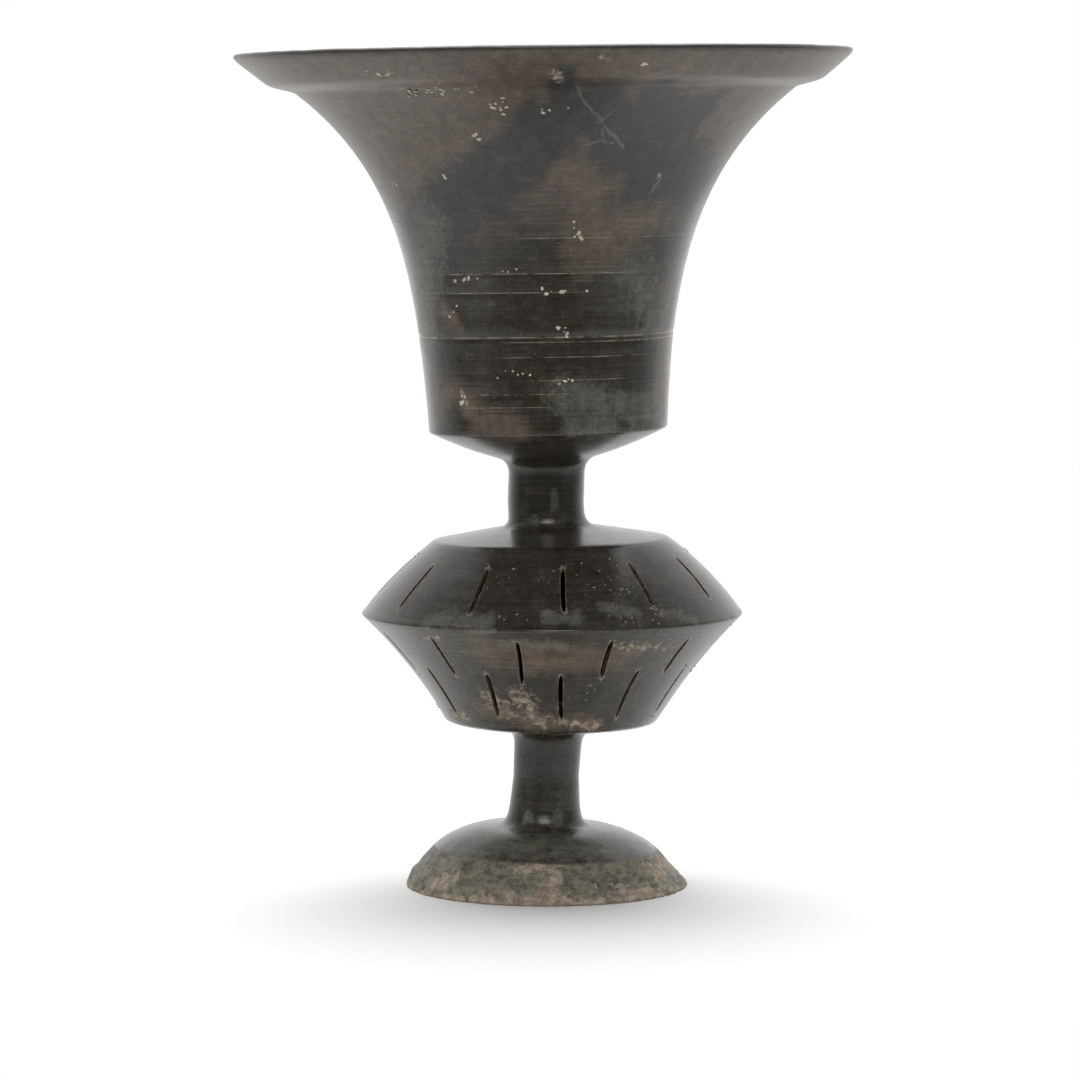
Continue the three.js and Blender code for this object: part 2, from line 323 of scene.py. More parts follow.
def run(pieces, spacing, soften, row_turn=ROW_TURN):
    """Rows along a line of points: corners rounded, evenly spaced, closer where the line turns. The line's
    last point is left to the next run."""
    points = np.concatenate([np.atleast_2d(np.array(piece, float)) for piece in pieces])
    along = np.concatenate([[0], np.cumsum(np.linalg.norm(np.diff(points, axis=0), axis=1))])
    fine = np.linspace(0, along[-1], int(along[-1] / FINE_STEP) + 2)
    line = np.stack([np.interp(fine, along, points[:, k]) for k in (0, 1)], axis=1)

    # The ends are mirrored through themselves, so the rounding leaves them where they are.
    reach = int(3 * soften / FINE_STEP)
    kernel = np.exp(-0.5 * (np.arange(-reach, reach + 1) * FINE_STEP / soften) ** 2)
    before = 2 * line[0] - line[reach:0:-1]
    after = 2 * line[-1] - line[-2 : -reach - 2 : -1]
    padded = np.concatenate([before, line, after])
    line = np.stack([np.convolve(padded[:, k], kernel / kernel.sum(), "valid") for k in (0, 1)], axis=1)

    step = np.gradient(line, axis=0)
    heading = np.unwrap(np.arctan2(step[:, 1], step[:, 0]))
    turned = np.concatenate([[0], np.cumsum(np.abs(np.diff(heading)))])
    effort = fine / spacing + np.degrees(turned) / row_turn
    where = np.interp(np.linspace(0, effort[-1], round(effort[-1]) + 1), effort, fine)
    return np.stack([np.interp(where, fine, line[:, k]) for k in (0, 1)], axis=1)[:-1]


def bell_rows(top, bottom):
    """Rows down the lower bell, with a close set across each wheel line."""
    heights = list(np.arange(top, bottom, -1.7))
    for z, _, _, _ in WHEEL_LINES:
        heights = [h for h in heights if abs(h - z) > 1.0]
        heights += [z + step for step in (-0.5, 0.0, 0.5)]
    heights = sorted(set(np.round(heights, 2)), reverse=True)
    kept = [heights[0]]
    for height in heights[1:]:
        if kept[-1] - height > 0.2:
            kept.append(height)
    return bell(kept)


def cup_rows():
    """The whole section as rows from the bowl's floor over the lip, down the outside and up the hollow stem,
    and the number of the first row of each part of it."""
    upper, lower = CONE_SHARES["upper"], CONE_SHARES["lower"]
    top = LIP_Z + LIP_ROUND
    inner_rim = (LEDGE_RADIUS - 1.6, LEDGE_Z + 1.5)
    inner_lip = (RIM_RADIUS - 3.4, top - 0.5)
    rim_middle = np.mean([inner_rim, inner_lip], axis=0)
    bell_split = 187.0
    line_split = 163.0
    edge_split = 113.4
    foot_edge = tuple(bell([BOWL_FOOT_Z])[0])
    under_bowl = (UPPER_STEM_RADIUS + STEM_FILLET, STEM_TOP_Z + 0.5)
    on_knop = (UPPER_STEM_RADIUS + STEM_FILLET, KNOP_TOP_Z)
    upper_bore = UPPER_STEM_RADIUS - STEM_WALL
    lower_bore = LOWER_STEM_RADIUS - STEM_WALL
    dome = [(LOWER_STEM_RADIUS + 2 * STEM_FILLET, FOOT_TOP_Z - 0.1), (21.0, FOOT_TOP_Z - 0.7), FOOT_SHOULDER]
    dome_share = 0.8
    ring_inner = (FOOT_RADIUS - FOOT_RING_WIDTH - 0.3, 0.0)

    inside = run(
        [
            (0, FLOOR_Z),
            (UPPER_STEM_RADIUS, FLOOR_Z + 0.5),
            bend(
                (BELL_CORE_RADIUS - 3, BOWL_FOOT_Z + 0.6),
                (BELL_CORE_RADIUS - 0.1, BOWL_FOOT_Z + 1.6),
                (BELL_CORE_RADIUS + 0.2, BOWL_FOOT_Z + 5),
            ),
            bell(np.linspace(BOWL_FOOT_Z + 8, BELL_TOP_Z, 40), BOWL_WALL),
            inner_rim,
            rim_middle,
        ],
        6.0,
        1.0,
        HIDDEN_ROW_TURN,
    )
    rim = run(
        [
            rim_middle,
            inner_lip,
            (RIM_RADIUS - 2.4, top),
            (RIM_RADIUS - 0.6, top),
            (RIM_RADIUS, LIP_Z + 0.2),
            (RIM_RADIUS - 0.7, LIP_Z - LIP_ROUND),
            bend(
                (LEDGE_RADIUS + 0.9, LEDGE_Z + 0.8),
                (LEDGE_RADIUS, LEDGE_Z),
                (LEDGE_RADIUS - 1.4, LEDGE_Z - 0.5),
            ),
            bell(np.linspace(BELL_TOP_Z, bell_split, 12)),
        ],
        1.5,
        0.35,
    )
    flare = run([bell(np.linspace(bell_split, line_split, 30))], 2.4, 0.5)
    barrel = bell_rows(line_split, edge_split)
    stem = run(
        [
            bell([edge_split]),
            bend(foot_edge, BOWL_BULGE, under_bowl),
            bend(
                under_bowl,
                (UPPER_STEM_RADIUS, STEM_TOP_Z - 0.4),
                (UPPER_STEM_RADIUS, STEM_TOP_Z - 1.3 * STEM_FILLET),
            ),
            bend(
                (UPPER_STEM_RADIUS, KNOP_TOP_Z + 1.3 * STEM_FILLET),
                (UPPER_STEM_RADIUS, KNOP_TOP_Z + 0.3),
                on_knop,
            ),
            KNOP_CONES["upper"][0],
            cone("upper", upper[:1]),
        ],
        2.0,
        0.3,
    )
    equator = run(
        [
            cone("upper", [upper[-1], 1]),
            (KNOP_RADIUS, KNOP_EQUATOR_Z),
            cone("lower", [0, lower[0]]),
        ],
        0.8,
        0.35,
    )
    knop_foot = run(
        [
            cone("lower", [lower[-1], 1]),
            (KNOP_BASE_RADIUS - 0.9, KNOP_BASE_Z - 1.4),
            (KNOP_BASE_RADIUS - 2.6, KNOP_BASE_Z - 2),
            bend(
                (LOWER_STEM_RADIUS + STEM_FILLET, KNOP_FLOOR_Z),
                (LOWER_STEM_RADIUS + 0.3, KNOP_FLOOR_Z - 0.3),
                (LOWER_STEM_RADIUS + 0.2, KNOP_FLOOR_Z - 1.4 * STEM_FILLET),
            ),
            (LOWER_STEM_RADIUS, 27),
            bend(
                (LOWER_STEM_RADIUS + 0.6, 20),
                (LOWER_STEM_RADIUS + 1, FOOT_TOP_Z + 0.4),
                (LOWER_STEM_RADIUS + 1.2 * STEM_FILLET, FOOT_TOP_Z + 0.1),
            ),
            curve(dome, np.linspace(0, dome_share, 8)),
        ],
        2.0,
        0.4,
    )
    collar = run(
        [
            curve(dome, np.linspace(dome_share, 1, 4)),
            COLLAR_LINE,
            (FOOT_RADIUS, 0.6),
            (FOOT_RADIUS - 0.3, 0),
            (FOOT_RADIUS - FOOT_RING_WIDTH / 2, 0),
            ring_inner,
        ],
        0.6,
        0.25,
    )
    hollow = run(
        [
            ring_inner,
            (FOOT_SHOULDER[0] - 0.8, FOOT_SHOULDER[1] - FOOT_WALL),
            (20.0, FOOT_TOP_Z - 1.9 - FOOT_WALL),
            (lower_bore + STEM_FILLET, FOOT_TOP_Z - FOOT_WALL),
            (lower_bore, FOOT_TOP_Z + 1),
            (lower_bore, KNOP_FLOOR_Z - 1),
            (lower_bore + STEM_FILLET, KNOP_FLOOR_Z + KNOP_WALL),
            (KNOP_BASE_RADIUS - 2.2, KNOP_BASE_Z - 2 + KNOP_WALL),
            cone("lower", lower[-1:], KNOP_WALL),
        ],
        7.0,
        0.5,
        HIDDEN_ROW_TURN,
    )
    inner_equator = run(
        [
            cone("lower", lower[:1], KNOP_WALL),
            (KNOP_RADIUS - 1.7 * KNOP_WALL, KNOP_EQUATOR_Z),
            cone("upper", upper[-1:], KNOP_WALL),
        ],
        2.0,
        0.3,
    )
    bore = run(
        [
            cone("upper", upper[:1], KNOP_WALL),
            (upper_bore + STEM_FILLET, KNOP_TOP_Z - KNOP_WALL),
            (upper_bore, KNOP_TOP_Z + 1.5),
            (upper_bore, STEM_TOP_Z - 1.5),
            (upper_bore - 2, STEM_TOP_Z),
            (0, STEM_TOP_Z + 0.3),
        ],
        7.0,
        0.5,
        HIDDEN_ROW_TURN,
    )
    parts = [
        ("inside", inside),
        ("rim", rim),
        ("flare", flare),
        ("barrel", barrel),
        ("stem", stem),
        ("outer upper", cone("upper", upper[:-1])),
        ("equator", equator),
        ("outer lower", cone("lower", lower[:-1])),
        ("knop foot", knop_foot),
        ("collar", collar),
        ("hollow", hollow),
        ("inner lower", cone("lower", lower[::-1][:-1], KNOP_WALL)),
        ("inner equator", inner_equator),
        ("inner upper", cone("upper", upper[::-1][:-1], KNOP_WALL)),
        ("bore", bore),
        ("top", np.array([(0, STEM_TOP_Z + 0.3)])),
    ]
    first = {}
    count = 0
    for name, rows in parts:
        first[name] = count
        count += len(rows)
    return np.concatenate([rows for _, rows in parts]), first


def slit_plan(rows, first, chance):
    """Every slit as its sector, its pairs of outer and inner rows from tip to tip, and at each pair its half
    width and the sideways drift of the knife."""
    plan = []
    for name, start, end, width, angle in SLIT_ROWS:
        shares = CONE_SHARES[name]
        last = len(shares) - 1
        for index in range(SLITS_IN_A_ROW):
            top = int(np.abs(shares - start).argmin()) + chance.choice((-1, 0, 0, 1))
            bottom = int(np.abs(shares - end).argmin()) + chance.choice((-1, 0, 0, 1))
            top = max(top, 1)
            bottom = min(bottom, last - 1)
            steps = np.arange(top, bottom + 1)
            outer = first["outer " + name] + steps
            inner = first["inner " + name] + last - steps
            along = np.linalg.norm(rows[outer] - rows[outer[0]], axis=1)
            tip = np.minimum(along, along[-1] - along) / SLIT_TIP
            half = width / 2 * chance.uniform(0.85, 1.15) * np.clip(tip, SLIT_TIP_SHARE, 1) ** 0.7
            share = np.linspace(-1, 1, len(steps))
            drift = chance.uniform(-0.45, 0.45) * share + chance.uniform(-0.25, 0.25) * share**2
            first_sector = (angle - FIRST_SLIT_ANGLE) / SECTOR_TURN
            sector = round(first_sector + index * SECTORS / SLITS_IN_A_ROW) % SECTORS
            plan.append((sector, outer, inner, half, drift))
    return plan


def column_angles(rows, plan):
    """The angle of every vertex from the front, in degrees, with columns drawn to the edges of the slits."""
    pitch = SECTOR_TURN / SECTOR_COLUMNS
    offsets = np.arange(SECTOR_COLUMNS) - (SECTOR_COLUMNS - 1) / 2
    middles = FIRST_SLIT_ANGLE + np.arange(SECTORS) * SECTOR_TURN
    natural = (middles[:, None] + offsets * pitch).ravel()
    angles = np.tile(natural, (len(rows), 1))
    pull = np.clip(1.25 - 0.5 * np.abs(offsets), 0, 1)
    lead = np.clip(1.1 - 0.25 * np.abs(offsets), 0, 1) * (np.abs(offsets) < offsets[-1])
    for sector, outer, inner, half, drift in plan:
        columns = sector * SECTOR_COLUMNS + np.arange(SECTOR_COLUMNS)
        for side in (outer, inner):
            degrees = np.degrees(1 / rows[side, 0])
            widen = half * degrees - pitch / 2
            moved = widen[:, None] * np.sign(offsets) * pull + (drift * degrees)[:, None] * lead
            angles[np.ix_(side, columns)] += moved
    return angles


def perlin(points, size, shift=0.0):
    """Smooth noise from -1 to 1 at each point, with lumps about this many millimetres across."""
    flat = points.reshape(-1, 3) / size + shift
    return np.array([noise.noise(p) for p in flat.tolist()]).reshape(points.shape[:-1])


def apart(angles, middle):
    """Angles from a middle one, between -180 and 180 degrees."""
    return (angles - middle + 180) % 360 - 180


def along_paths(paths, angles, radius, z):
    """1 on the middle of a stain, falling to 0 at its half width on either side."""
    share = np.zeros_like(angles)
    for path, half_width in paths:
        for (from_angle, from_z), (to_angle, to_z) in zip(path[:-1], path[1:]):
            for step in np.linspace(0, 1, 9):
                turn = np.radians(apart(angles, from_angle + step * (to_angle - from_angle)))
                rise = z - (from_z + step * (to_z - from_z))
                share = np.maximum(share, 1 - np.hypot(turn * radius, rise) / half_width)
    return share


def stain_masks(points, angles, radius, z):
    """Each kind of stain as a grid of shares, with its edges made to wander."""
    masks = {}
    for shift, (name, paths) in enumerate(STAINS.items()):
        narrowest = min(half_width for _, half_width in paths)
        wander = STAIN_WANDER * min(1.0, narrowest / STAIN_WANDER / 2)
        sideways = wander * perlin(points, STAIN_LUMP, 20.0 + shift)
        upwards = wander * perlin(points, STAIN_LUMP, 40.0 + shift)
        strayed = angles + np.degrees(sideways / np.maximum(radius, 1))
        masks[name] = along_paths(paths, strayed, radius, z + upwards)
    return masks


def ramp(value, low, high):
    """0 below one value, 1 above the other, and smooth between."""
    share = np.clip((value - low) / (high - low), 0, 1)
    return share * share * (3 - 2 * share)


def lean(points):
    """Carries a true turned form onto the cup's wandering axis."""
    z = points[..., 2]
    shift = np.mean([np.interp(z + ease, AXIS_Z, AXIS_SHIFT) for ease in AXIS_EASE], axis=0)
    tilt = np.radians(np.mean([np.interp(z + ease, AXIS_Z, AXIS_LEAN) for ease in AXIS_EASE], axis=0))
    # The resting ring stays level.
    settle = ramp(z, 0.0, 3.0)
    shift = shift * settle
    tilt = tilt * settle
    x = points[..., 0]
    return np.stack([shift + x * np.cos(tilt), points[..., 1], z + x * np.sin(tilt)], axis=-1)


def turned_points(radius, angles, z):
    """Points about the true axis, at angles from the front."""
    around = np.radians(angles)
    return np.stack([radius * np.sin(around), -radius * np.cos(around), z + 0 * radius], axis=-1)


def hump(offset, half_width):
    """1 at no offset, falling away smoothly past the half width."""
    return np.exp(-((offset / half_width) ** 2))


def relief(points, angles, z, outside, foot):
    """How far the surface stands out from the true section, in millimetres."""
    ridges = perlin(points * (0.12, 0.12, 1.0), RIDGE_SIZE, 7.0)
    height = WAVE_HEIGHT * perlin(points, WAVE_SIZE) + RIDGE_HEIGHT * ridges
    for line_z, depth, middle, reach in WHEEL_LINES:
        strength = ramp(-np.abs(apart(angles, middle)), -reach, 12 - reach)
        wander = WHEEL_LINE_WAVE * np.sin(np.radians(WHEEL_LINE_WAVES * angles + line_z))
        height -= outside * depth * strength * hump(z - line_z - wander, WHEEL_LINE_HALF)

    # The collar is crusted with earth, most of all at its lower edge, scored once round, and has a burr.
    crust = foot * ramp(-z, -COLLAR_TOP, -1.0)
    lumps = perlin(points, 2.2, 3.0) + 0.6 * perlin(points, 1.1, 11.0)
    height += crust * CRUST_HEIGHT * lumps + foot * 0.14 * perlin(points, 5.0, 5.0)
    score = 0.1 + 0.3 * hump(apart(angles, SCORE_ANGLE), 32)
    height -= foot * score * hump(z - SCORE_Z - 0.3 * np.sin(np.radians(2 * angles)), 0.4)
    height += foot * BURR_HEIGHT * hump(apart(angles, BURR_ANGLE), 16) * hump(z - BURR_Z, 0.7)

    # Wear on the lip and the knop's sharp edge
    for edge_z, depth in ((LIP_Z + LIP_ROUND, LIP_WEAR), (KNOP_EQUATOR_Z, KNOP_WEAR)):
        worn = np.clip(perlin(points, 5.0, edge_z), 0, 1)
        height -= outside * depth * worn * hump(z - edge_z, 0.8)
    return height


def speck_form():
    """A low closed dome about a unit across: vertices and faces, with its middle first and its base last."""
    points = [(0.0, 0.0, 1.0)]
    for reach, height in ((0.7, 0.7), (1.0, 0.0)):
        for side in range(SPECK_SIDES):
            turn = 2 * np.pi * side / SPECK_SIDES
            points.append((reach * np.cos(turn), reach * np.sin(turn), height))
    points.append((0.0, 0.0, -1.0))
    base = len(points) - 1
    faces = []
    for side in range(SPECK_SIDES):
        near, far = 1 + side, 1 + (side + 1) % SPECK_SIDES
        faces.append([0, near, far])
        faces.append([near, near + SPECK_SIDES, far + SPECK_SIDES, far])
        faces.append([near + SPECK_SIDES, base, far + SPECK_SIDES])
    return np.array(points), faces


def speck_shapes(places, outer_rows, chance):
    """Irregular lumps of earth on the outside, one at each (angle, height, size): vertices and faces."""
    form, form_faces = speck_form()
    order = np.argsort(outer_rows[:, 1])
    heights = outer_rows[order, 1]
    radii = outer_rows[order, 0]
    points = []
    faces = []
    for angle, z, size in places:
        radius, above, below = np.interp((z, z + 0.4, z - 0.4), heights, radii)
        outward = Vector((0, -0.8, below - above)).normalized()
        across = Vector((1, 0, 0))
        stand = Matrix((across, outward.cross(across), outward)).transposed()
        spin = Matrix.Rotation(chance.gauss(0, 0.4), 3, "Z")
        turn = Euler((0, 0, np.radians(angle))).to_matrix()
        lump = form * (size * chance.uniform(0.8, 1.6), size, 0.2 * size + 0.14)
        lump[1:-1, :2] *= np.array([chance.uniform(0.65, 1.25) for _ in form[1:-1]])[:, None]
        centre = turned_points(np.array(radius), np.array(angle), np.array(z))
        base = len(points) * len(form)
        points.append(lump @ np.array(turn @ stand @ spin).T + centre)
        faces += [[base + i for i in face] for face in form_faces]
    return np.concatenate(points), faces


def speck_places(rows, plan, chance):
    """Angles, heights and sizes of the specks: in their groups, and in the tips of the slits."""
    places = []
    for angle, z, count, wide, tall, largest in SPECKS:
        for _ in range(count):
            size = SMALLEST_SPECK + (largest - SMALLEST_SPECK) * chance.random() ** 1.5
            places.append((angle + chance.gauss(0, wide / 2), z + chance.gauss(0, tall / 2), size))
    for sector, outer, _, _, drift in plan:
        for tip in (0, -1):
            for _ in range(chance.choice((1, 2, 3))):
                radius, z = rows[outer[tip]]
                turn = FIRST_SLIT_ANGLE + sector * SECTOR_TURN + np.degrees(drift[tip] / radius)
                turn += chance.gauss(0, 0.45)
                z += chance.gauss(0, 0.4)
                places.append((turn, z, chance.uniform(*TIP_SPECKS)))
    return places


def cup_mesh():
    """The fine mesh of the cup, with the attributes that its materials read."""
    chance = random.Random(SEED)
    rows, first = cup_rows()
    plan = slit_plan(rows, first, chance)
    angles = column_angles(rows, plan)
    radius = rows[:, :1] + 0 * angles
    z = rows[:, 1:] + 0 * angles
    number = np.arange(len(rows))
    outside = ((number >= first["rim"]) & (number < first["hollow"]))[:, None] + 0.0 * angles
    foot = ((number >= first["collar"]) & (number < first["hollow"]))[:, None] + 0.0 * angles

    points = turned_points(radius, angles, z)
    direction = np.gradient(rows, axis=0)
    direction /= np.linalg.norm(direction, axis=1)[:, None] + 1e-9
    height = relief(points, angles, z, outside, foot)
    # The middles of the bowl's floor and of the bore's end stay even.
    height *= ramp(rows[:, :1], 0.5, 6.0)
    shaped = turned_points(
        radius - height * direction[:, 1:], angles, np.maximum(z + height * direction[:, :1], 0)
    )

    # Slits: how bare the clay at their edges is, the faces they cut away, and their walls
    slit = np.zeros_like(angles)
    cut = set()
    walls = []
    for sector, outer, inner, _, _ in plan:
        left = sector * SECTOR_COLUMNS + LEFT_OF_SLIT
        right = left + 1
        tips = outer[[0, -1]]
        slit[np.ix_(outer, [left, right])] = 0.75
        slit[np.ix_(tips, [left - 1, right + 1])] = 0.5
        slit[np.ix_(tips, [left, right])] = 1
        for face_rows in (outer, inner):
            above = np.minimum(face_rows[:-1], face_rows[1:])
            cut |= {(int(row), left) for row in above}
        for i in range(len(outer) - 1):
            o, p, q, n = outer[i], outer[i + 1], inner[i + 1], inner[i]
            walls.append([(o, left), (p, left), (q, left), (n, left)])
            walls.append([(o, right), (n, right), (q, right), (p, right)])
        walls.append([(outer[0], left), (inner[0], left), (inner[0], right), (outer[0], right)])
        walls.append([(outer[-1], left), (outer[-1], right), (inner[-1], right), (inner[-1], left)])

    # The first and the last row are single points on the axis.
    inner_rows = len(rows) - 2
    index = 1 + np.arange(inner_rows * COLUMNS).reshape(inner_rows, COLUMNS)
    floor_point = np.zeros((1, COLUMNS), int)
    bore_point = np.full((1, COLUMNS), inner_rows * COLUMNS + 1)
    index = np.concatenate([floor_point, index, bore_point])
    faces = []
    for row in range(len(rows) - 1):
        for column in range(COLUMNS):
            if (row, column) in cut:
                continue
            after = (column + 1) % COLUMNS
            ring = [index[row, column], index[row + 1, column], index[row + 1, after], index[row, after]]
            faces.append(list(dict.fromkeys(ring)))
    skin_faces = len(faces)
    faces += [[index[row, column] for row, column in wall] for wall in walls]
    wall_end = len(faces)

    def per_vertex(grid):
        """A grid's values in the order of the vertices, with each end row as one."""
        return np.concatenate([grid[:1, 0], grid[1:-1].reshape(-1, *grid.shape[2:]), grid[-1:, 0]])

    lip_row = first["rim"] + int(rows[first["rim"] : first["flare"], 0].argmax())
    places = speck_places(rows, plan, chance)
    specks, speck_faces = speck_shapes(places, rows[lip_row : first["hollow"]], chance)
    body = per_vertex(shaped)
    vertices = lean(np.concatenate([body, specks])) * MM
    faces += [[len(body) + i for i in face] for face in speck_faces]

    mesh = bpy.data.meshes.new("burnished_cup")
    mesh.from_pydata(vertices.tolist(), [], [[int(i) for i in face] for face in faces])
    slots = np.zeros(len(faces), np.int32)
    slots[skin_faces:wall_end] = 1
    mesh.polygons.foreach_set("material_index", slots)
    mesh.polygons.foreach_set("use_smooth", np.ones(len(faces), bool))

    masks = stain_masks(points, angles, radius, z)
    masks["brown"] = np.maximum(masks["brown"], ramp(z, *BROWN_RISE))
    # Painted shade over the top of the lip, darkest on its rounded top
    masks["lip"] = ramp(z, *LIP_SHADE_RISE)
    masks["collar"] = foot * (1 - ramp(z, *COLLAR_FADE))
    masks["crust"] = np.maximum(masks["crust"], 0.9 * (1 - ramp(z, *CRUST_FADE))) * masks["collar"]
    masks["slit"] = slit
    for name, grid in masks.items():
        grid = grid * outside
        values = np.concatenate([per_vertex(grid), np.zeros(len(specks))])
        mesh.attributes.new(name, "FLOAT", "POINT").data.foreach_set("value", values.astype(np.float32))
    # Specks are dull on the knop and pale on the bowl.
    speck = np.concatenate([np.zeros(len(body)), 0.35 + 0.6 * ramp(specks[:, 2], KNOP_TOP_Z, BOWL_FOOT_Z)])
    mesh.attributes.new("speck", "FLOAT", "POINT").data.foreach_set("value", speck.astype(np.float32))
    turned = np.concatenate([per_vertex(points), specks])
    turned_layer = mesh.attributes.new("turned", "FLOAT_VECTOR", "POINT")
    turned_layer.data.foreach_set("vector", turned.astype(np.float32).ravel())
    mesh.validate()
    mesh.set_sharp_from_angle(angle=np.radians(SHARP_ANGLE))
    return mesh


class Shader:
    """A material's nodes, with short ways to add the kinds that the cup uses."""

    def __init__(self, tree):
        self.tree = tree
        tree.nodes.clear()

    def add(self, kind, inputs, **settings):
        """A node whose inputs are linked to sockets or set to values."""
        node = self.tree.nodes.new(kind)
        for name, value in settings.items():
            setattr(node, name, value)
        for name, value in inputs.items():
            if isinstance(value, bpy.types.NodeSocket):
                self.tree.links.new(value, node.inputs[name])
            else:
                node.inputs[name].default_value = value
        return node

    def math(self, operation, *values):
        """A sum or other operation on numbers."""
        return self.add("ShaderNodeMath", dict(enumerate(values)), operation=operation).outputs[0]

    def vector(self, operation, inputs, output="Vector"):
        """An operation on vectors or colours."""
        return self.add("ShaderNodeVectorMath", inputs, operation=operation).outputs[output]

    def blend(self, share, under, over):
        """One colour over another by a share."""
        inputs = {0: share, 6: under, 7: over}
        return self.add("ShaderNodeMix", inputs, data_type="RGBA").outputs[2]

    def layer(self, colour, over, share, strength):
        """A colour laid over another by a mask at some strength."""
        return self.blend(self.math("MULTIPLY", share, strength), colour, over)

    def tone(self, colour, grain, amount):
        """A colour made lighter and darker by a grain."""
        factor = self.math("MULTIPLY_ADD", grain, amount, 1 - amount / 2)
        return self.vector("SCALE", {0: colour, "Scale": factor})

    def ramp(self, value, low, high, start=0.0, end=1.0):
        """A smooth passage from one value to another."""
        inputs = {"Value": value, "From Min": low, "From Max": high, "To Min": start, "To Max": end}
        return self.add("ShaderNodeMapRange", inputs, interpolation_type="SMOOTHSTEP").outputs[0]

    def noise(self, vector, scale, detail=3.0, roughness=0.55):
        """A grain from 0 to 1, with this many lumps to a millimetre."""
        inputs = {"Vector": vector, "Scale": scale, "Detail": detail, "Roughness": roughness}
        return self.add("ShaderNodeTexNoise", inputs).outputs["Fac"]

    def stretch(self, vector, scale):
        """Places scaled along each axis, to draw a grain out."""
        return self.vector("MULTIPLY", {0: vector, 1: scale})

    def attribute(self, name, output="Fac"):
        """A value that the mesh carries."""
        return self.add("ShaderNodeAttribute", {}, attribute_name=name).outputs[output]

    def near(self, share, grain, amount, low, high):
        """A mask broken up by a grain."""
        rough = self.math("MULTIPLY_ADD", grain, amount, self.math("SUBTRACT", share, amount / 2))
        return self.ramp(rough, low, high)

    def patches(self, name, grain, amount, low, high):
        """A painted mask broken up by a grain, and nothing beyond its edge."""
        share = self.attribute(name)
        return self.math("MULTIPLY", self.near(share, grain, amount, low, high), self.ramp(share, 0.0, 0.25))


# Colours, as linear light
BLACK = (0.038, 0.033, 0.025, 1)
BROWN = (0.112, 0.085, 0.064, 1)
STAIN = (0.027, 0.03, 0.03, 1)
FILM = (0.135, 0.13, 0.107, 1)
DUST = (0.31, 0.28, 0.225, 1)
SCRATCH = (0.15, 0.147, 0.13, 1)
EARTH = (0.29, 0.222, 0.158, 1)
PALE_EARTH = (0.52, 0.44, 0.33, 1)
DARK_COLLAR = (0.066, 0.064, 0.05, 1)
COLLAR = (0.27, 0.25, 0.188, 1)
# Painted shade: the colour of the dark band over the top of the lip
LIP_SHADE = (0.035, 0.036, 0.032, 1)
RAW_CLAY = (0.24, 0.145, 0.08, 1)
DARK_CLAY = (0.055, 0.036, 0.023, 1)
SPECK = (0.74, 0.68, 0.56, 1)


def wheel_dust(shader, turned, grain):
    """Pale dust that lies in the wheel lines, broken along their length."""
    place = shader.add("ShaderNodeSeparateXYZ", {0: turned}).outputs
    towards = shader.math("MULTIPLY", place["Y"], -1.0)
    angle = shader.math("DEGREES", shader.math("ARCTAN2", place["X"], towards))
    total = 0.0
    for line_z, depth, middle, reach in WHEEL_LINES:
        turns = shader.math("MULTIPLY_ADD", angle, float(WHEEL_LINE_WAVES), line_z)
        wave = shader.math("SINE", shader.math("RADIANS", turns))
        off = shader.math("SUBTRACT", place["Z"], shader.math("MULTIPLY_ADD", wave, WHEEL_LINE_WAVE, line_z))
        thin = shader.ramp(shader.math("ABSOLUTE", off), 0.13 + depth, 0.03)
        turn = shader.math("WRAP", shader.math("SUBTRACT", angle, float(middle)), 180.0, -180.0)
        ends = shader.ramp(shader.math("ABSOLUTE", turn), float(reach), reach - 15.0)
        total = shader.math("MAXIMUM", shader.math("MULTIPLY", thin, ends), total)
    return shader.math("MULTIPLY", total, shader.ramp(grain, 0.38, 0.62))


def scratch_marks(shader, turned, grain):
    """Thin pale scratches between points on the bowl."""
    total = 0.0
    for path in SCRATCHES:
        for (from_angle, from_z), (to_angle, to_z) in zip(path[:-1], path[1:]):
            ends = [
                Vector(turned_points(bell([z])[0, 0], np.array(angle), np.array(z)) + SCRATCH_STRAY / 2)
                for angle, z in ((from_angle, from_z), (to_angle, to_z))
            ]
            way = ends[1] - ends[0]
            offset = shader.vector("SUBTRACT", {0: turned, 1: ends[0]})
            dot = shader.vector("DOT_PRODUCT", {0: offset, 1: way / way.length_squared}, "Value")
            share = shader.add("ShaderNodeClamp", {"Value": dot}).outputs[0]
            foot = shader.vector("SCALE", {0: way, "Scale": share})
            gap = shader.vector("DISTANCE", {0: offset, 1: foot}, "Value")
            total = shader.math("MAXIMUM", shader.ramp(gap, 0.6, 0.15), total)
    return shader.math("MULTIPLY", total, shader.ramp(grain, 0.3, 0.6))


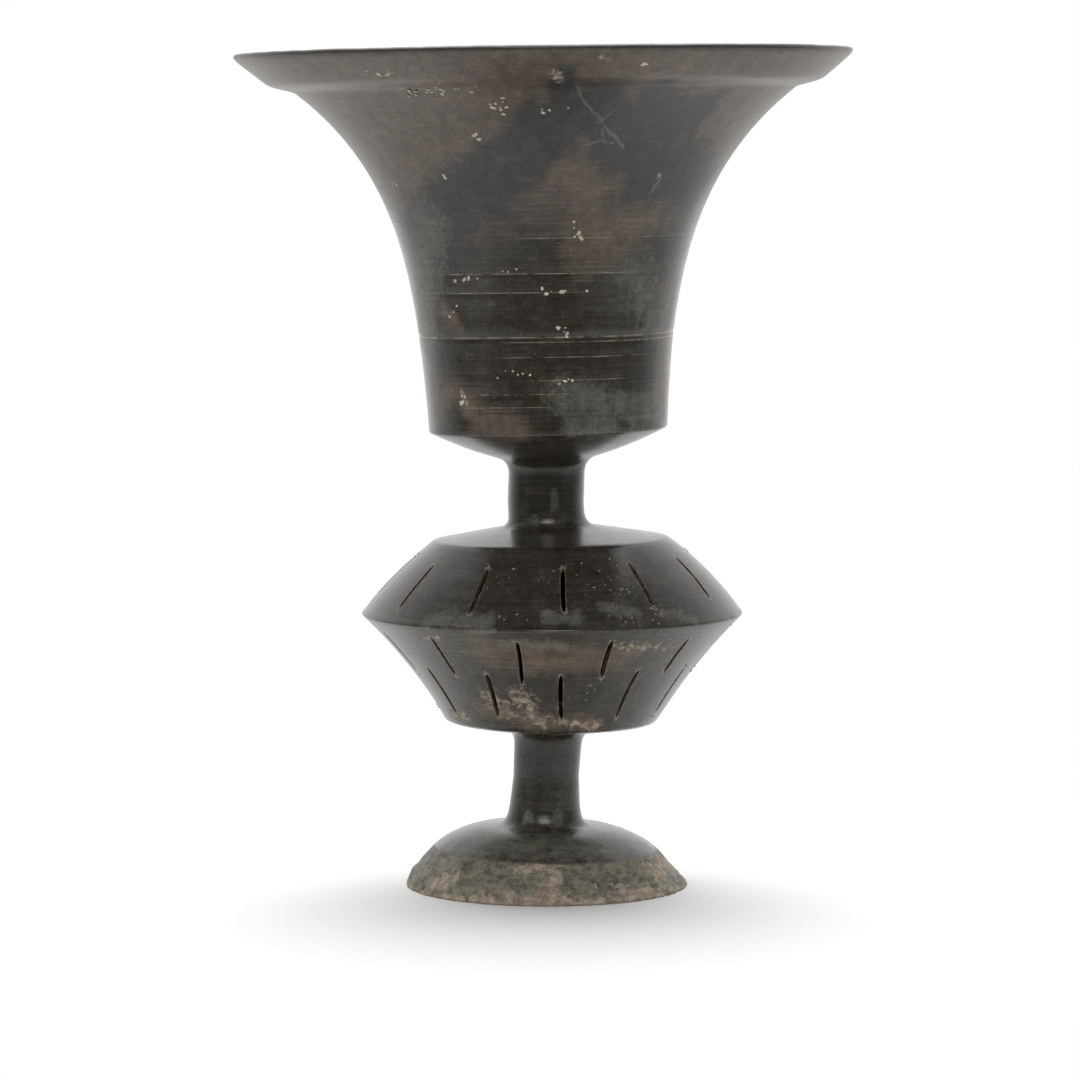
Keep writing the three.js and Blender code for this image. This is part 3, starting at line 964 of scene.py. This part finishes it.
def burnished_pottery():
    """The cup's skin, with every stain, mark and patch of earth on it."""
    material = bpy.data.materials.new("burnished_black_pottery")
    material.use_nodes = True
    shader = Shader(material.node_tree)
    turned = shader.attribute("turned", "Vector")
    cloud = shader.noise(turned, 0.055, 4.0)
    mottle = shader.noise(turned, 0.28, 5.0, 0.65)
    fine = shader.noise(turned, 1.3, 4.0, 0.65)
    soil = shader.noise(turned, 0.55, 6.0, 0.7)
    streak = shader.noise(shader.stretch(turned, (0.035, 0.035, 1.5)), 1.0, 5.0, 0.65)
    scuff = shader.noise(shader.stretch(turned, (0.2, 0.2, 0.34)), 1.0, 6.0, 0.68)
    scrape = shader.noise(shader.stretch(turned, (0.38, 0.38, 0.55)), 1.0, 8.0, 0.8)
    clod = shader.noise(turned, 0.32, 6.0, 0.7)
    crumbs = shader.math("MULTIPLY", shader.math("ADD", clod, soil), 0.5)
    stray_noise = {"Vector": turned, "Scale": 0.22, "Detail": 2.0}
    stray = shader.add("ShaderNodeTexNoise", stray_noise).outputs["Color"]
    unsteady = shader.vector("MULTIPLY_ADD", {0: stray, 1: (SCRATCH_STRAY,) * 3, 2: turned})

    # Fired skin: black, brown in places, streaked by the wheel, under smoke and film
    brown_share = shader.attribute("brown")
    uneven = shader.math("SUBTRACT", streak, 0.5)
    brown = shader.near(shader.math("MULTIPLY_ADD", uneven, 0.9, brown_share), cloud, 1.0, 0.12, 0.95)
    colour = shader.blend(brown, BLACK, BROWN)
    smudge = shader.near(shader.attribute("smudge"), scuff, 1.2, 0.04, 0.5)
    colour = shader.layer(colour, STAIN, smudge, 0.88)
    film = shader.near(shader.attribute("film"), crumbs, 2.6, 0.15, 0.9)
    colour = shader.layer(colour, FILM, film, 0.68)
    colour = shader.layer(colour, FILM, shader.ramp(scuff, 0.52, 0.8), 0.35)
    colour = shader.tone(shader.tone(colour, mottle, 2.0), fine, 1.4)
    streaking = shader.ramp(brown_share, 0.2, 1.0, 1.4, 0.35)
    colour = shader.tone(colour, shader.math("MULTIPLY_ADD", uneven, streaking, 0.5), 1.0)
    # Painted shade: a dark band laid over the top of the lip
    colour = shader.layer(colour, LIP_SHADE, shader.attribute("lip"), 0.8)

    # Marks: grit, dust in the wheel lines, scratches
    colour = shader.layer(colour, DUST, shader.ramp(shader.noise(turned, 1.7, 1.0), 0.7, 0.78), 0.35)
    dust = wheel_dust(shader, turned, shader.noise(turned, 0.16, 5.0, 0.75))
    colour = shader.layer(colour, DUST, dust, 0.9)
    colour = shader.layer(colour, SCRATCH, scratch_marks(shader, unsteady, mottle), 0.8)

    # Foot collar and earth
    collar = shader.attribute("collar")
    worn = shader.blend(shader.ramp(scrape, 0.36, 0.62), DARK_COLLAR, COLLAR)
    colour = shader.layer(colour, worn, collar, 0.92)
    clinging = shader.patches("earth", soil, 3.0, 0.4, 1.0)
    crust = shader.patches("crust", crumbs, 5.0, 0.2, 0.8)
    strewn = shader.math("MULTIPLY", shader.ramp(soil, 0.64, 0.85), 0.6)
    earth = shader.math("MAXIMUM", shader.math("MULTIPLY", clinging, 0.85), crust)
    earth = shader.math("MAXIMUM", earth, strewn)
    soil_colour = shader.blend(shader.ramp(soil, 0.4, 0.66), EARTH, PALE_EARTH)
    colour = shader.layer(colour, soil_colour, earth, 0.85)
    slit = shader.near(shader.attribute("slit"), soil, 1.2, 0.5, 1.0)
    colour = shader.layer(colour, EARTH, slit, 0.85)
    speck = shader.attribute("speck")
    colour = shader.blend(speck, colour, shader.blend(shader.ramp(mottle, 0.35, 0.6), PALE_EARTH, SPECK))

    # Gloss
    dry = shader.math("MAXIMUM", shader.math("MAXIMUM", earth, speck), shader.math("MULTIPLY", collar, 0.8))
    sheen = shader.math("MULTIPLY_ADD", mottle, 0.14, 0.17)
    sheen = shader.math("MULTIPLY_ADD", shader.math("MAXIMUM", brown, film), 0.14, sheen)
    roughness = shader.math("MULTIPLY_ADD", dry, 0.45, sheen)

    # Fine relief
    grain = shader.math("MULTIPLY_ADD", streak, 0.4, shader.math("MULTIPLY", fine, 0.12))
    grain = shader.math("MULTIPLY_ADD", mottle, 0.3, grain)
    grain = shader.math("MULTIPLY_ADD", shader.math("MULTIPLY", dry, soil), 2.8, grain)
    bump = shader.add("ShaderNodeBump", {"Height": grain, "Strength": 1.0, "Distance": 0.0001})
    surface = shader.add(
        "ShaderNodeBsdfPrincipled",
        {"Base Color": colour, "Roughness": roughness, "Normal": bump.outputs[0], "IOR": 1.5},
    )
    shader.add("ShaderNodeOutputMaterial", {"Surface": surface.outputs[0]})
    return material


def slit_clay():
    """The cut walls of the slits: bare brown clay with earth left in it."""
    material = bpy.data.materials.new("raw_clay_in_slits")
    material.use_nodes = True
    shader = Shader(material.node_tree)
    turned = shader.attribute("turned", "Vector")
    soil = shader.noise(turned, 0.9, 5.0, 0.65)
    colour = shader.blend(shader.ramp(soil, 0.4, 0.7), DARK_CLAY, RAW_CLAY)
    bump = shader.add("ShaderNodeBump", {"Height": soil, "Strength": 0.8, "Distance": 0.0002})
    surface = shader.add(
        "ShaderNodeBsdfPrincipled", {"Base Color": colour, "Roughness": 0.9, "Normal": bump.outputs[0]}
    )
    shader.add("ShaderNodeOutputMaterial", {"Surface": surface.outputs[0]})
    return material


def make_cup():
    """The cup's one piece, in place of its solid."""
    cup = bpy.data.objects.new("burnished_cup", cup_mesh())
    bpy.context.scene.collection.objects.link(cup)
    cup.data.materials.append(burnished_pottery())
    cup.data.materials.append(slit_clay())
    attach(cup, "root")
    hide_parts("stem_cup")


# The stage, in metres: a pale floor, a surround that is bright behind and dark in front, and soft lamps
WHITE = (1, 1, 1, 1)
FLOOR_COLOUR = (0.88, 0.88, 0.87, 1)
FLOOR_HALF = 0.45
FLOOR_FRONT = -0.25
FLOOR_FADE = (0.04, 0.24)
SURROUND_BACK = 1.25
SURROUND_FRONT = 0.08
SURROUND_DEPTHS = (-0.25, 0.9)
LAMPS = [
    ("overhead", (0.0, 0.28, 1.3), 1.2, 20.0),
    ("front", (0.0, -1.3, 1.0), 0.9, 9.0),
    ("left_fill", (-1.2, -0.8, 0.7), 1.2, 2.0),
    ("right_fill", (1.2, -0.8, 0.7), 1.2, 1.2),
]

# The camera: lens and sensor in millimetres, its place in metres and how far it looks down in degrees
CAMERA_LENS = 155
CAMERA_SENSOR = 36
CAMERA_PLACE = (-0.0017, -1.131, 0.18118)
CAMERA_DIP = 4.87


def make_floor():
    """A pale floor under the cup that fades to white, with its front edge just out of the picture."""
    mesh = bpy.data.meshes.new("floor")
    front = [(-FLOOR_HALF, FLOOR_FRONT, 0), (FLOOR_HALF, FLOOR_FRONT, 0)]
    back = [(FLOOR_HALF, FLOOR_HALF, 0), (-FLOOR_HALF, FLOOR_HALF, 0)]
    mesh.from_pydata(front + back, [], [(0, 1, 2, 3)])
    floor = bpy.data.objects.new("floor", mesh)
    bpy.context.scene.collection.objects.link(floor)
    material = bpy.data.materials.new("pale_floor")
    material.use_nodes = True
    shader = Shader(material.node_tree)
    place = shader.add("ShaderNodeNewGeometry", {}).outputs["Position"]
    reach = shader.vector("LENGTH", {0: place}, "Value")
    far = shader.ramp(reach, *FLOOR_FADE)
    near = shader.add("ShaderNodeBsdfDiffuse", {"Color": FLOOR_COLOUR})
    glow = shader.add("ShaderNodeEmission", {"Color": WHITE, "Strength": 1.0})
    mixed = shader.add("ShaderNodeMixShader", {0: far, 1: near.outputs[0], 2: glow.outputs[0]})
    shader.add("ShaderNodeOutputMaterial", {"Surface": mixed.outputs[0]})
    mesh.materials.append(material)


def make_surround():
    """White to the camera; what lights the cup is bright behind it and dark in front."""
    world = bpy.data.worlds.new("surround")
    bpy.context.scene.world = world
    world.use_nodes = True
    shader = Shader(world.node_tree)
    way = shader.add("ShaderNodeTexCoord", {}).outputs["Generated"]
    depth = shader.add("ShaderNodeSeparateXYZ", {0: way}).outputs["Y"]
    strength = shader.ramp(depth, *SURROUND_DEPTHS, SURROUND_FRONT, SURROUND_BACK)
    lit = shader.add("ShaderNodeBackground", {"Color": WHITE, "Strength": strength})
    seen = shader.add("ShaderNodeBackground", {"Color": WHITE, "Strength": 1.0})
    camera_ray = shader.add("ShaderNodeLightPath", {}).outputs["Is Camera Ray"]
    mixed = shader.add("ShaderNodeMixShader", {0: camera_ray, 1: lit.outputs[0], 2: seen.outputs[0]})
    shader.add("ShaderNodeOutputWorld", {"Surface": mixed.outputs[0]})


def make_lamps():
    """Round soft lamps that face the middle of the cup."""
    target = (cad_low + cad_high) / 2
    for name, place, size, power in LAMPS:
        light = bpy.data.lights.new(name, "AREA")
        light.shape = "DISK"
        light.size = size
        light.energy = power
        lamp = bpy.data.objects.new(name, light)
        lamp.location = place
        lamp.rotation_euler = (target - Vector(place)).to_track_quat("-Z", "Y").to_euler()
        bpy.context.scene.collection.objects.link(lamp)


def make_camera():
    """The photographed view, from the height of the bowl and looking a little down."""
    camera = bpy.data.cameras.new("camera")
    camera.lens = CAMERA_LENS
    camera.sensor_width = CAMERA_SENSOR
    stand = bpy.data.objects.new("camera", camera)
    stand.location = CAMERA_PLACE
    stand.rotation_euler = (np.radians(90 - CAMERA_DIP), 0, 0)
    bpy.context.scene.collection.objects.link(stand)
    bpy.context.scene.camera = stand


bpy.context.scene.view_settings.view_transform = "Standard"
make_camera()
make_floor()
make_surround()
make_lamps()
make_cup()
